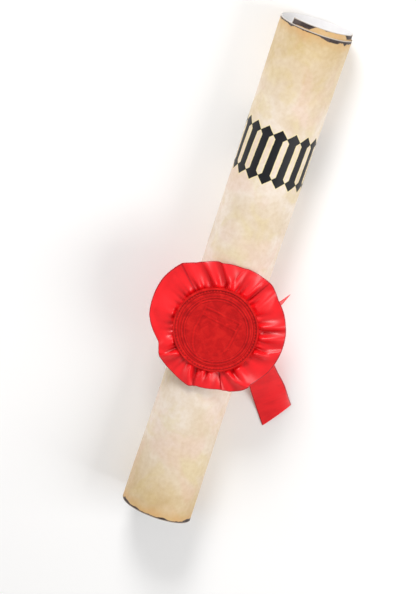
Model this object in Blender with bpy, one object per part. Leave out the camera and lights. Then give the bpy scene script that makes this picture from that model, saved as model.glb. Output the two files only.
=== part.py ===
"""A rolled paper scroll, tied with a satin ribbon under a ruffled rosette with a pressed seal.

The scroll lies on a flat surface with the rosette facing up. +Y runs along the roll towards
its head, +Z is up and +X is the side on which the ribbon is knotted. The origin is on the
flat spot that the roll rests on, below the middle of its length. Lengths are in metres.
"""

import math

import bmesh
import bpy
from mathutils import Vector

MM = 0.001
TAU = 2 * math.pi

# Sheets and solids that touch keep this gap between them.
GAP = 0.3 * MM

# The sheet of paper, flat: its height runs along the roll and its width is rolled up.
SHEET_HEIGHT = 279 * MM
SHEET_WIDTH = 216 * MM
SHEET_THICKNESS = 0.35 * MM
SHEET_COLUMNS = 80
SHEET_ROWS = 18

# How the sheet is rolled. Angles go round the roll from +X towards +Z.
ROLL_PITCH = 0.75 * MM  # radius lost in each turn
ROLL_SKEW = math.radians(1.5)  # the sheet was rolled this far out of square
FREE_EDGE_ANGLE = math.radians(240)
TOP_ANGLE = math.radians(90 + 360)
ROLL_RADIUS_FREE = 18.85 * MM  # outside radius of the roll where nothing squeezes it
ROLL_FLARE = 1.25 * MM  # what is added to that radius at the head
ROLL_WAIST = 1.2 * MM  # what the ribbon takes off it
WAIST_LENGTH = 22 * MM
FLAT_DEPTH = 0.3 * MM  # how far the roll sags onto the surface that it lies on

# The ribbon, its knot and its two tails.
RIBBON_WIDTH = 19 * MM
RIBBON_THICKNESS = 0.35 * MM
ROSETTE_Y = -28.5 * MM
BAND_SEGMENTS = 56
KNOT_ANGLE = math.radians(12)
KNOT_SIZE = Vector((4.2 * MM, 12.5 * MM, 11 * MM))
KNOT_SHARE = 0.35  # how much of its width the ribbon keeps in the knot
TAIL_STEPS = 4

# The rosette's discs and ruffle, from the ribbon up.
BACKING_RADIUS = 22 * MM
BACKING_THICKNESS = 1.2 * MM
RUFFLE_HOLE_RADIUS = 16.5 * MM
RUFFLE_RADIUS = 36 * MM
RUFFLE_THICKNESS = 0.8 * MM
RUFFLE_FOLDS = 12
RUFFLE_WAVE = 1.3 * MM
SEAL_RADIUS = 23 * MM
SEAL_THICKNESS = 3.2 * MM
THREAD_RADIUS = 0.3 * MM

# Sizes that follow from those above.
HEAD_DISTANCE = SHEET_HEIGHT / 2 - ROSETTE_Y
SPIRAL_RATE = ROLL_PITCH / TAU
SPIRAL_TO_OUTSIDE = SPIRAL_RATE * (TOP_ANGLE - FREE_EDGE_ANGLE) - SHEET_THICKNESS / 2
WAIST_OUTSIDE = ROLL_RADIUS_FREE - ROLL_WAIST + SPIRAL_TO_OUTSIDE + SHEET_THICKNESS / 2
BAND_INNER_RADIUS = WAIST_OUTSIDE + GAP
BAND_OUTER_RADIUS = BAND_INNER_RADIUS + RIBBON_THICKNESS
SPIRAL_TO_TABLE = SPIRAL_RATE * math.radians(180)
AXIS_HEIGHT = ROLL_RADIUS_FREE + SPIRAL_TO_TABLE - FLAT_DEPTH  # under the rosette
BACKING_BASE = AXIS_HEIGHT + BAND_OUTER_RADIUS + GAP
RUFFLE_BASE = BACKING_BASE + BACKING_THICKNESS + GAP
SEAL_BASE = RUFFLE_BASE + RUFFLE_THICKNESS + GAP


def material(name, color, roughness):
    """A Principled material with an even colour."""
    made = bpy.data.materials.new(name)
    made.use_nodes = True
    shader = made.node_tree.nodes["Principled BSDF"]
    shader.inputs["Base Color"].default_value = (*color, 1)
    shader.inputs["Roughness"].default_value = roughness
    shader.inputs["Metallic"].default_value = 0
    return made


def add_object(name, mesh, surface):
    """Puts a mesh in the scene as the named sub-part, shaded smooth across gentle angles."""
    part = bpy.data.objects.new(name, mesh)
    bpy.context.scene.collection.objects.link(part)
    mesh.materials.append(surface)
    mesh.shade_smooth()
    mesh.set_sharp_from_angle(angle=math.radians(35))
    return part


def mesh_from(name, shape):
    """Turns a bmesh into a mesh and frees it."""
    mesh = bpy.data.meshes.new(name)
    shape.to_mesh(mesh)
    shape.free()
    return mesh


def solidify(part, thickness):
    """Gives a sheet its thickness, half to each side."""
    wall = part.modifiers.new("thickness", "SOLIDIFY")
    wall.thickness = thickness
    wall.offset = 0


def flare(y):
    """What the roll's radius gains towards its ends."""
    return ROLL_FLARE * abs((y - ROSETTE_Y) / HEAD_DISTANCE) ** 1.4


def roll_radius(y):
    """Outside radius of the roll at a place along it: widest at its ends, least in the ribbon."""
    waist = ROLL_WAIST * math.exp(-(((y - ROSETTE_Y) / WAIST_LENGTH) ** 4))
    return ROLL_RADIUS_FREE + flare(y) - waist


def rolled(across, up):
    """Where a point of the flat sheet lies in the roll.

    across is measured from the free outer edge, and up from the middle of the sheet's height.
    """
    front_across = (TOP_ANGLE - FREE_EDGE_ANGLE) * ROLL_RADIUS_FREE
    along_roll = across * math.cos(ROLL_SKEW) - up * math.sin(ROLL_SKEW)
    y = up * math.cos(ROLL_SKEW) + (across - front_across) * math.sin(ROLL_SKEW)
    start_radius = roll_radius(y) + SPIRAL_TO_OUTSIDE
    wound = (
        start_radius - math.sqrt(start_radius**2 - 2 * SPIRAL_RATE * along_roll)
    ) / SPIRAL_RATE
    radius = start_radius - SPIRAL_RATE * wound
    angle = FREE_EDGE_ANGLE + wound
    x = radius * math.cos(angle)
    z = AXIS_HEIGHT + flare(y) + radius * math.sin(angle)
    layer = 0 if angle < TOP_ANGLE else 1
    table = SHEET_THICKNESS / 2 + layer * ROLL_PITCH
    return Vector((x, y, max(z, table)))


def make_scroll_sheet():
    """The sheet of paper, rolled just under two turns and flattened where it rests."""
    shape = bmesh.new()
    bmesh.ops.create_grid(
        shape, x_segments=SHEET_COLUMNS, y_segments=SHEET_ROWS, size=0.5
    )
    for vert in shape.verts:
        across = (vert.co.x + 0.5) * SHEET_WIDTH
        vert.co = rolled(across, vert.co.y * SHEET_HEIGHT)
    bmesh.ops.recalc_face_normals(shape, faces=shape.faces)
    paper = material("printed_paper", (0.84, 0.72, 0.55), 0.7)
    part = add_object("scroll_sheet", mesh_from("scroll_sheet", shape), paper)
    solidify(part, SHEET_THICKNESS)
    return part


def strip(sections, closed):
    """A solid strip through four-cornered sections, joined end to end or capped.

    Both broad faces are split along the same diagonals, so that a twist keeps its thickness.
    """
    shape = bmesh.new()
    rows = [[shape.verts.new(corner) for corner in section] for section in sections]
    pairs = list(zip(rows, rows[1:]))
    if closed:
        pairs.append((rows[-1], rows[0]))
    else:
        shape.faces.new(rows[0])
        shape.faces.new(rows[-1])
    for near, far in pairs:
        for number in range(4):
            after = (number + 1) % 4
            a, b, c, d = near[number], near[after], far[after], far[number]
            halves = ((a, b, c), (a, c, d)) if number == 1 else ((a, b, d), (b, c, d))
            for corners in halves:
                shape.faces.new(corners)
    bmesh.ops.recalc_face_normals(shape, faces=shape.faces)
    if shape.calc_volume(signed=True) < 0:
        bmesh.ops.reverse_faces(shape, faces=shape.faces)
    return shape


def make_band():
    """The stretch of ribbon that goes round the roll, as a thin ring."""
    foot_side = ROSETTE_Y - RIBBON_WIDTH / 2
    head_side = ROSETTE_Y + RIBBON_WIDTH / 2
    corners = (
        (BAND_INNER_RADIUS, foot_side),
        (BAND_OUTER_RADIUS, foot_side),
        (BAND_OUTER_RADIUS, head_side),
        (BAND_INNER_RADIUS, head_side),
    )
    sections = []
    for number in range(BAND_SEGMENTS):
        angle = TAU * number / BAND_SEGMENTS
        sections.append(
            [
                (radius * math.cos(angle), y, AXIS_HEIGHT + radius * math.sin(angle))
                for radius, y in corners
            ]
        )
    return strip(sections, closed=True)


def knot_centre():
    """The middle of the knot, on the band's outer face."""
    out = BAND_OUTER_RADIUS - RIBBON_THICKNESS / 2 + KNOT_SIZE.x / 2
    return Vector(
        (out * math.cos(KNOT_ANGLE), ROSETTE_Y, AXIS_HEIGHT + out * math.sin(KNOT_ANGLE))
    )


def make_knot():
    """The half knot, as a rounded lump that grips the band and both tails."""
    shape = bmesh.new()
    bmesh.ops.create_icosphere(shape, subdivisions=3, radius=0.5)
    centre = knot_centre()
    for vert in shape.verts:
        vert.co = centre + Vector(a * b for a, b in zip(vert.co, KNOT_SIZE))
    return shape


def smooth_through(points, steps):
    """Points on a Catmull-Rom curve through the given ones."""
    points = [Vector(point) for point in points]
    ends = [2 * points[0] - points[1], *points, 2 * points[-1] - points[-2]]
    made = []
    for p0, p1, p2, p3 in zip(ends, ends[1:], ends[2:], ends[3:]):
        for step in range(steps):
            t = step / steps
            bend = 2 * p0 - 5 * p1 + 4 * p2 - p3
            twist = 3 * p1 - p0 - 3 * p2 + p3
            made.append((2 * p1 + (p2 - p0) * t + bend * t**2 + twist * t**3) / 2)
    return made + [points[-1]]


def make_tail(route, across, end_slant):
    """A tail of the ribbon along its route, widening from the knot, with a slanted end."""
    points = [knot_centre() + step * MM for step in smooth_through(route, TAIL_STEPS)]
    sides = smooth_through(across, TAIL_STEPS)
    last = len(points) - 1
    sections = []
    for number, (point, side) in enumerate(zip(points, sides)):
        open_share = min(1, number / (2 * TAIL_STEPS))
        width = RIBBON_WIDTH * (KNOT_SHARE + (1 - KNOT_SHARE) * open_share)
        forward = (points[min(number + 1, last)] - points[max(number - 1, 0)]).normalized()
        side = (side - forward * side.dot(forward)).normalized()
        wall = forward.cross(side) * RIBBON_THICKNESS / 2
        slant = forward * end_slant / 2 if number == last else Vector()
        half = side * width / 2 + slant
        corners = (half - wall, half + wall, wall - half, -half - wall)
        sections.append([point + corner for corner in corners])
    return strip(sections, closed=False)


def cutter_object(name, shape):
    """A helper body for a union, which isn't part of the object."""
    helper = bpy.data.objects.new(name, mesh_from(name, shape))
    bpy.context.scene.collection.objects.link(helper)
    helper.hide_render = True
    helper.display_type = "WIRE"
    return helper


def make_tie_ribbon():
    """The ribbon: a band round the roll, a half knot beside it and two tails."""
    satin = material("red_satin", (0.75, 0.02, 0.02), 0.35)
    part = add_object("tie_ribbon", mesh_from("tie_ribbon", make_band()), satin)
    head_tail = make_tail(
        route=[(0, 2, 0), (1.2, 8, 2), (2.7, 14, 3.8), (4.2, 19, 5)],
        across=[(-0.2, 0, 1), (-0.28, 0, 0.96), (-0.45, 0, 0.89), (-0.57, 0, 0.82)],
        end_slant=-19 * MM,
    )
    down = (RIBBON_THICKNESS - knot_centre().z) / MM  # from the knot to the table
    foot_tail = make_tail(
        route=[
            (0, -2, 0),
            (4, -8, -3),
            (9.5, -17, -9.5),
            (15, -26, -16.5),
            (20, -34, down + 1.3),
            (22.7, -38.5, down),
            (25.5, -43, down),
        ],
        across=[
            (0.4, 0, 1),
            (0.7, 0.4, 0.5),
            (0.83, 0.53, 0.15),
            (0.84, 0.54, 0),
            (0.84, 0.54, 0),
            (0.84, 0.54, 0),
            (0.84, 0.54, 0),
        ],
        end_slant=1.2 * MM,
    )
    for name, shape in (
        ("knot_lump", make_knot()),
        ("head_tail", head_tail),
        ("foot_tail", foot_tail),
    ):
        union = part.modifiers.new(name, "BOOLEAN")
        union.operation = "UNION"
        union.object = cutter_object(name, shape)
    return part


def turned(name, profile, surface, segments):
    """A solid turned about the rosette's upright axis from its half section, base to top."""
    shape = bmesh.new()
    verts = [
        shape.verts.new((radius, ROSETTE_Y, height)) for radius, height in profile
    ]
    edges = [shape.edges.new(pair) for pair in zip(verts, verts[1:])]
    bmesh.ops.spin(
        shape,
        geom=verts + edges,
        cent=(0, ROSETTE_Y, 0),
        axis=(0, 0, 1),
        angle=TAU,
        steps=segments,
        use_merge=True,
    )
    bmesh.ops.remove_doubles(shape, verts=shape.verts, dist=0.00001)
    bmesh.ops.recalc_face_normals(shape, faces=shape.faces)
    return add_object(name, mesh_from(name, shape), surface)


def make_backing_disc():
    """The felt disc that the ruffle is stitched to and the ribbon is glued under."""
    top = BACKING_BASE + BACKING_THICKNESS
    edge = 0.2 * MM
    profile = [
        (0, BACKING_BASE),
        (BACKING_RADIUS - edge, BACKING_BASE),
        (BACKING_RADIUS, BACKING_BASE + edge),
        (BACKING_RADIUS, top - edge),
        (BACKING_RADIUS - edge, top),
        (0, top),
    ]
    felt = material("red_felt", (0.5, 0.01, 0.015), 0.9)
    return turned("backing_disc", profile, felt, 48)


def make_seal_disc():
    """The pressed seal: a dished disc with a rim, a channel and a raised inner ring."""
    heights = (
        # share of the radius, share of the thickness
        (0.985, 0.0),
        (1.0, 0.2),
        (1.0, 0.8),
        (0.985, 1.0),
        (0.955, 1.0),
        (0.93, 0.72),
        (0.83, 0.66),
        (0.80, 0.82),
        (0.765, 0.82),
        (0.74, 0.64),
        (0.0, 0.60),
    )
    profile = [(0, SEAL_BASE)]
    for radius, height in heights:
        profile.append((radius * SEAL_RADIUS, SEAL_BASE + height * SEAL_THICKNESS))
    vinyl = material("seal_vinyl", (0.58, 0.015, 0.015), 0.6)
    return turned("seal_disc", profile, vinyl, 56)


def make_gathering_thread():
    """The thread drawn through the ruffle's inner edge, as the ring that it lies in."""
    ring_radius = RUFFLE_HOLE_RADIUS - GAP - THREAD_RADIUS
    height = RUFFLE_BASE + RUFFLE_THICKNESS / 2
    shape = bmesh.new()
    section = bmesh.ops.create_circle(shape, segments=6, radius=THREAD_RADIUS)
    for vert in section["verts"]:
        x, y, _ = vert.co
        vert.co = (ring_radius + x, ROSETTE_Y, height + y)
    bmesh.ops.spin(
        shape,
        geom=list(shape.verts) + list(shape.edges),
        cent=(0, ROSETTE_Y, 0),
        axis=(0, 0, 1),
        angle=TAU,
        steps=32,
        use_merge=True,
    )
    bmesh.ops.remove_doubles(shape, verts=shape.verts, dist=0.00001)
    bmesh.ops.recalc_face_normals(shape, faces=shape.faces)
    cotton = material("red_thread", (0.55, 0.01, 0.01), 0.8)
    name = "gathering_thread"
    return add_object(name, mesh_from(name, shape), cotton)


def make_ruffle():
    """The gathered ribbon: flat under the seal, and in soft folds out to its free edge."""
    shares = (0, 0.16, 0.33, 0.5, 0.75, 1)  # from the hole to the free edge
    around = RUFFLE_FOLDS * 6
    shape = bmesh.new()
    rings = []
    for share in shares:
        ring = []
        lift = RUFFLE_WAVE * max(0, share - 0.33) / 0.67
        for number in range(around):
            angle = TAU * number / around
            fold = math.cos(RUFFLE_FOLDS * angle)
            radius = RUFFLE_HOLE_RADIUS + share * (RUFFLE_RADIUS - RUFFLE_HOLE_RADIUS)
            radius += share * 0.4 * MM * fold
            x = radius * math.cos(angle)
            y = ROSETTE_Y + radius * math.sin(angle)
            z = RUFFLE_BASE + RUFFLE_THICKNESS / 2 + lift * fold
            ring.append(shape.verts.new((x, y, z)))
        rings.append(ring)
    for inner, outer in zip(rings, rings[1:]):
        for number in range(around):
            after = (number + 1) % around
            shape.faces.new((inner[number], outer[number], outer[after], inner[after]))
    bmesh.ops.recalc_face_normals(shape, faces=shape.faces)
    satin = material("ruffle_satin", (0.75, 0.02, 0.02), 0.35)
    part = add_object("ruffle", mesh_from("ruffle", shape), satin)
    solidify(part, RUFFLE_THICKNESS - 0.1 * MM)
    return part


for leftover in list(bpy.data.objects):
    bpy.data.objects.remove(leftover)

make_scroll_sheet()
make_tie_ribbon()
make_backing_disc()
make_gathering_thread()
make_ruffle()
make_seal_disc()
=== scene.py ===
"""A paper scroll tied with satin ribbon, under a gathered rosette with a pressed seal.

It lies on its side with the rosette facing up and its head towards +Y. Lengths are in metres.
"""

import math

import bpy
from mathutils import Matrix, Vector, noise


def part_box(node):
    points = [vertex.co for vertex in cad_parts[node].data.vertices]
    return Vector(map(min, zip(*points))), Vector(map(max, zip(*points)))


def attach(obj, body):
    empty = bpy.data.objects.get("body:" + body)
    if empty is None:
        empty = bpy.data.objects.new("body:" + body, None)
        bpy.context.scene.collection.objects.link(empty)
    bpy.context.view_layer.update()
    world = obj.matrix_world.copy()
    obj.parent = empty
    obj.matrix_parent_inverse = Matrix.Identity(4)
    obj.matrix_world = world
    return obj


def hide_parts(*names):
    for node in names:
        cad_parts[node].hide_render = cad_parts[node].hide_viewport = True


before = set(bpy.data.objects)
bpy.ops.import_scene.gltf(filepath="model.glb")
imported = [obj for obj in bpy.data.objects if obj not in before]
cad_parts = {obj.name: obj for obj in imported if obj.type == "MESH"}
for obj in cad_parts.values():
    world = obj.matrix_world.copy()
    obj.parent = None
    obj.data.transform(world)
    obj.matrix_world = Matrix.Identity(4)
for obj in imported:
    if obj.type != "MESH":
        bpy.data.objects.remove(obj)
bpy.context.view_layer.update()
bpy.ops.object.select_all(action="DESELECT")


# ---------------------------------------------------------------- the sheet of paper
# One letter-size sheet of heavy paper, printed on one side as old parchment with singed edges,
# and rolled face out along its short side into a little under two turns. Nothing holds it but
# the ribbon, so its turns have slid past each other and it flares towards both ends.

MM = 0.001
TAU = 2 * math.pi

SHEET_WIDTH = 216 * MM
SHEET_HEIGHT = 279 * MM
PAPER_THICKNESS = 0.3 * MM
SHEET_COLUMNS = 200
SHEET_ROWS = 108

ROLL_PITCH = 0.75 * MM  # radius lost in each turn
ROLL_SKEW = math.radians(1.5)  # rolled a little askew, so the inner turn stands out of the head
FREE_EDGE_ANGLE = math.radians(240)  # from +X towards +Z
TOP_ANGLE = math.radians(90 + 360)  # the top of the outer turn, counted on from the free edge
ROLL_RADIUS = 18.85 * MM
ROLL_FLARE = 1.25 * MM
ROLL_WAIST = 1.2 * MM
WAIST_LENGTH = 22 * MM
FLAT_DEPTH = 0.3 * MM  # how far the roll is pressed flat where it lies
SPIRAL_RATE = ROLL_PITCH / TAU
OUTSIDE_GAIN = SPIRAL_RATE * (TOP_ANGLE - FREE_EDGE_ANGLE)  # the free edge's radius over the top's
DENT_DEPTH = 0.22 * MM
DENT_LENGTH = 34 * MM

seal_low, seal_high = (Vector(corner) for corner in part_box("seal_disc"))
rosette = (seal_low + seal_high) / 2
head_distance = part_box("scroll_sheet")[1][1] - rosette.y
axis_height = ROLL_RADIUS + SPIRAL_RATE * math.pi - FLAT_DEPTH


def flare(y):
    """What the roll's radius gains towards its ends."""
    return ROLL_FLARE * abs((y - rosette.y) / head_distance) ** 1.4


def roll_radius(y):
    """Outside radius at a place along the roll: widest at its ends, least in the ribbon."""
    waist = ROLL_WAIST * math.exp(-(((y - rosette.y) / WAIST_LENGTH) ** 4))
    return ROLL_RADIUS + flare(y) - waist


def dent(angle, y):
    """How far the paper stands out of its true round here, the same in both turns."""
    round_place = (math.cos(angle) * 1.1, math.sin(angle) * 1.1, y / DENT_LENGTH)
    away_from_band = min(1, abs(y - rosette.y) / (2 * WAIST_LENGTH))
    return DENT_DEPTH * away_from_band * noise.noise(round_place)


def rolled(across, up):
    """Where a point of the flat sheet lies; across is measured from its free outer edge."""
    front_across = (TOP_ANGLE - FREE_EDGE_ANGLE) * ROLL_RADIUS
    along_roll = across * math.cos(ROLL_SKEW) - up * math.sin(ROLL_SKEW)
    y = up * math.cos(ROLL_SKEW) + (across - front_across) * math.sin(ROLL_SKEW)
    start = roll_radius(y) + OUTSIDE_GAIN
    wound = (start - math.sqrt(start**2 - 2 * SPIRAL_RATE * along_roll)) / SPIRAL_RATE
    angle = FREE_EDGE_ANGLE + wound
    radius = start - SPIRAL_RATE * wound + dent(angle, y)
    z = axis_height + flare(y) + radius * math.sin(angle)
    layer = 0 if angle < TOP_ANGLE else 1
    return Vector((radius * math.cos(angle), y, max(z, layer * ROLL_PITCH)))


bpy.ops.mesh.primitive_grid_add(
    x_subdivisions=SHEET_COLUMNS, y_subdivisions=SHEET_ROWS, size=1
)
paper = bpy.context.object
paper.name = "parchment_sheet"
for vertex in paper.data.vertices:
    across = (vertex.co.x + 0.5) * SHEET_WIDTH
    vertex.co = rolled(across, vertex.co.y * SHEET_HEIGHT)


def linear(hex_colour):
    """An sRGB hex colour as linear RGBA."""
    channels = [int(hex_colour[place:place + 2], 16) / 255 for place in (1, 3, 5)]
    return (*[c / 12.92 if c <= 0.04045 else ((c + 0.055) / 1.055) ** 2.4 for c in channels], 1)


def add_node(tree, kind, inputs, stops=(), **settings):
    """Adds a node with its settings, values and links, and gives its first live output."""
    node = tree.nodes.new("ShaderNode" + kind)
    for name, value in settings.items():
        setattr(node, name, value)
    for key, value in inputs.items():
        if isinstance(value, bpy.types.NodeSocket):
            tree.links.new(value, node.inputs[key])
        else:
            node.inputs[key].default_value = value
    if stops:
        ramp = node.color_ramp
        while len(ramp.elements) < len(stops):
            ramp.elements.new(1)
        for element, (place, colour) in zip(ramp.elements, stops):
            element.position = place
            element.color = colour
    return next(output for output in node.outputs if output.enabled)


def new_material(name, roughness):
    """A material, its node tree and its shader."""
    made = bpy.data.materials.new(name)
    made.use_nodes = True
    shader = made.node_tree.nodes["Principled BSDF"]
    shader.inputs["Roughness"].default_value = roughness
    return made, made.node_tree, shader


# Uncoated card with a laser-printed parchment: matt, warm and blotched, darker towards its
# edges, with a charred line just inside the cut edge and a plain white margin outside it.
# Every scale is in millimetres on the flat sheet.
WIDTH_MM = SHEET_WIDTH / MM
HEIGHT_MM = SHEET_HEIGHT / MM
CARD_ROUGHNESS = 0.62
TONER_ROUGHNESS = 0.56
TOOTH_MM = 0.8  # the card's tooth is 0.3 mm, drawn coarser to show


def card_tooth(tree, shader, place):
    """The fine tooth of uncoated card, as a bump over the flat sheet."""
    tooth = add_node(tree, "TexNoise", {"Vector": place, "Scale": 1 / TOOTH_MM, "Detail": 3})
    rough = add_node(tree, "Bump", {"Height": tooth, "Strength": 0.12, "Distance": 0.0002})
    tree.links.new(rough, shader.inputs["Normal"])


printed, tree, shader = new_material("printed_parchment_card", CARD_ROUGHNESS)
shader.inputs["Specular IOR Level"].default_value = 0.35
shader.inputs["Sheen Weight"].default_value = 0.12
shader.inputs["Sheen Roughness"].default_value = 0.35
uv = add_node(tree, "UVMap", {})
place = add_node(tree, "Mapping", {"Vector": uv, "Scale": (WIDTH_MM, HEIGHT_MM, 0)})
across_mm, up_mm, _ = add_node(tree, "SeparateXYZ", {"Vector": place}).node.outputs

# How far in each point is from the sides, from the head and from the nearest edge.
other_side = add_node(tree, "Math", {0: WIDTH_MM, 1: across_mm}, operation="SUBTRACT")
from_sides = add_node(tree, "Math", {0: across_mm, 1: other_side}, operation="MINIMUM")
from_head = add_node(tree, "Math", {0: HEIGHT_MM, 1: up_mm}, operation="SUBTRACT")
from_ends = add_node(tree, "Math", {0: up_mm, 1: from_head}, operation="MINIMUM")
from_edge = add_node(tree, "Math", {0: from_sides, 1: from_ends}, operation="MINIMUM")

# Warm cream, with tan clouds and a few yellow and pink stains.
clouds = add_node(
    tree,
    "TexNoise",
    {"Vector": place, "W": 1, "Scale": 1 / 26, "Detail": 4, "Distortion": 0.6},
    noise_dimensions="4D",
)
base = add_node(
    tree,
    "ValToRGB",
    {"Fac": clouds},
    stops=[
        (0.30, linear("#dfcbae")),
        (0.45, linear("#e8d8c4")),
        (0.56, linear("#efe2d4")),
        (0.72, linear("#eddccb")),
    ],
)
yellow = add_node(
    tree,
    "TexNoise",
    {"Vector": place, "W": 5, "Scale": 1 / 17, "Detail": 3, "Distortion": 1.2},
    noise_dimensions="4D",
)
stain = add_node(
    tree, "MapRange", {"Value": yellow, "From Min": 0.50, "From Max": 0.66, "To Max": 0.45}
)
base = add_node(tree, "Mix", {0: stain, 6: base, 7: linear("#e5d4a2")}, data_type="RGBA")
pink = add_node(
    tree,
    "TexNoise",
    {"Vector": place, "W": 9, "Scale": 1 / 21, "Detail": 3, "Distortion": 0.8},
    noise_dimensions="4D",
)
blush = add_node(
    tree, "MapRange", {"Value": pink, "From Min": 0.50, "From Max": 0.64, "To Max": 0.6}
)
base = add_node(tree, "Mix", {0: blush, 6: base, 7: linear("#ead0c0")}, data_type="RGBA")
mealy = add_node(
    tree,
    "TexNoise",
    {"Vector": place, "W": 3, "Scale": 1 / 2.2, "Detail": 4},
    noise_dimensions="4D",
)
fine = add_node(
    tree,
    "ValToRGB",
    {"Fac": mealy},
    stops=[(0.3, linear("#e7e0d4")), (0.65, linear("#f6f6f6"))],
)
base = add_node(
    tree, "Mix", {0: 0.6, 6: base, 7: fine}, data_type="RGBA", blend_type="MULTIPLY"
)

# Browner towards the edges, in a broad band whose line wanders by up to 34 mm, and again close
# to the char, where it wanders by up to 9 mm.
slow = add_node(
    tree,
    "TexNoise",
    {"Vector": place, "W": 7, "Scale": 1 / 18, "Detail": 3},
    noise_dimensions="4D",
)
slow = add_node(tree, "Math", {0: slow, 1: 34, 2: from_edge}, operation="MULTIPLY_ADD")
broad = add_node(
    tree,
    "MapRange",
    {"Value": slow, "From Min": 18, "From Max": 64, "To Min": 1, "To Max": 0},
)
base = add_node(
    tree,
    "Mix",
    {0: broad, 6: base, 7: linear("#e8dab5")},
    data_type="RGBA",
    blend_type="MULTIPLY",
)
quick = add_node(
    tree,
    "TexNoise",
    {"Vector": place, "W": 8, "Scale": 1 / 7, "Detail": 3},
    noise_dimensions="4D",
)
quick = add_node(tree, "Math", {0: quick, 1: 9, 2: from_edge}, operation="MULTIPLY_ADD")
close = add_node(
    tree,
    "MapRange",
    {"Value": quick, "From Min": 5, "From Max": 11, "To Min": 0.5, "To Max": 0},
)
base = add_node(tree, "Mix", {0: close, 6: base, 7: linear("#d19a53")}, data_type="RGBA")

# A frieze of upright bars with lozenge ends takes the place of a heading. It stops short of
# the sheet's sides, and a pale yellow halo runs round its ink.
FRIEZE_BELOW_HEAD = 70.3
BAR_PITCH = 7.8
BAR_HALF_WIDTH = 2.15
LOZENGE_HALF = 4.0
LOZENGE_CENTRE = 11.6
HALO = 0.9
FRIEZE_MARGIN = 14.0
FRIEZE_FADE = 0.2

from_gap = add_node(tree, "Math", {0: across_mm, 1: BAR_PITCH / 2}, operation="PINGPONG")
beside = add_node(tree, "Math", {0: BAR_PITCH / 2, 1: from_gap}, operation="SUBTRACT")
above = add_node(
    tree, "Math", {0: up_mm, 1: HEIGHT_MM - FRIEZE_BELOW_HEAD}, operation="SUBTRACT"
)
above = add_node(tree, "Math", {0: above}, operation="ABSOLUTE")
beyond = add_node(tree, "Math", {0: above, 1: LOZENGE_CENTRE}, operation="SUBTRACT")
wide = add_node(tree, "Math", {0: beside, 1: BAR_HALF_WIDTH}, operation="SUBTRACT")
bar = add_node(tree, "Math", {0: wide, 1: beyond}, operation="MAXIMUM")
from_lozenge = add_node(tree, "Math", {0: beyond}, operation="ABSOLUTE")
lozenge = add_node(tree, "Math", {0: beside, 1: from_lozenge}, operation="ADD")
lozenge = add_node(tree, "Math", {0: lozenge, 1: LOZENGE_HALF}, operation="SUBTRACT")
outside = add_node(tree, "Math", {0: bar, 1: lozenge}, operation="MINIMUM")
uneven = add_node(
    tree,
    "TexNoise",
    {"Vector": place, "W": 13, "Scale": 1 / 3, "Detail": 2},
    noise_dimensions="4D",
)
outside = add_node(tree, "Math", {0: uneven, 1: 0.5, 2: outside}, operation="MULTIPLY_ADD")
in_frieze = add_node(
    tree,
    "MapRange",
    {
        "Value": from_sides,
        "From Min": FRIEZE_MARGIN,
        "From Max": FRIEZE_MARGIN + FRIEZE_FADE,
    },
)
halo = add_node(
    tree,
    "MapRange",
    {"Value": outside, "From Min": 0.4, "From Max": 0.25 + HALO, "To Min": 0.7, "To Max": 0},
)
halo = add_node(tree, "Math", {0: halo, 1: in_frieze}, operation="MULTIPLY")
base = add_node(tree, "Mix", {0: halo, 6: base, 7: linear("#f2e2a2")}, data_type="RGBA")
inked = add_node(
    tree,
    "MapRange",
    {"Value": outside, "From Min": 0.13, "From Max": 0.37, "To Min": 1, "To Max": 0},
)
inked = add_node(tree, "Math", {0: inked, 1: in_frieze}, operation="MULTIPLY")
thin_toner = add_node(
    tree,
    "TexNoise",
    {"Vector": place, "W": 15, "Scale": 1 / 9, "Detail": 3},
    noise_dimensions="4D",
)
ink = add_node(
    tree,
    "ValToRGB",
    {"Fac": thin_toner},
    stops=[(0.35, linear("#07080f")), (0.7, linear("#1b1b20"))],
)
base = add_node(tree, "Mix", {0: inked, 6: base, 7: ink}, data_type="RGBA")

# The char: thin along most of the edge, thicker in places, with ragged notches. How thick it
# is along the head is set place by place across the sheet, as grey, where white adds 2.2 mm
# and black takes 0.5 mm away.
MARGIN = 0.35
MARGIN_WANDER = 0.15
HEAD_CHAR_MOST = 2.2
HEAD_CHAR_LEAST = -0.5
HEAD_CHAR = (
    (0.0, 0.43), (0.19, 0.46), (0.258, 0.48), (0.267, 0.95), (0.276, 0.35), (0.286, 0.38),
    (0.294, 0.74), (0.326, 0.70), (0.345, 0.22), (0.418, 0.16), (0.426, 0.5), (0.434, 0.22),
    (0.56, 0.25), (0.70, 0.9), (0.835, 0.8), (0.85, 0.0), (0.935, 0.0), (0.95, 0.85), (1.0, 1.0),
)
head_char = add_node(
    tree,
    "ValToRGB",
    {"Fac": add_node(tree, "SeparateXYZ", {"Vector": uv})},
    stops=[(where, (grey, grey, grey, 1)) for where, grey in HEAD_CHAR],
)
near_head = add_node(
    tree,
    "MapRange",
    {"Value": from_head, "From Min": 6, "From Max": 12, "To Min": 1, "To Max": 0},
)
patchy = add_node(
    tree,
    "TexNoise",
    {"Vector": place, "W": 21, "Scale": 1 / 15, "Detail": 2},
    noise_dimensions="4D",
)
patchy = add_node(
    tree, "MapRange", {"Value": patchy, "From Min": 0.45, "From Max": 0.68, "To Max": 2.1}
)
at_head = add_node(
    tree,
    "MapRange",
    {"Value": head_char, "To Min": HEAD_CHAR_LEAST, "To Max": HEAD_CHAR_MOST},
)
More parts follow.
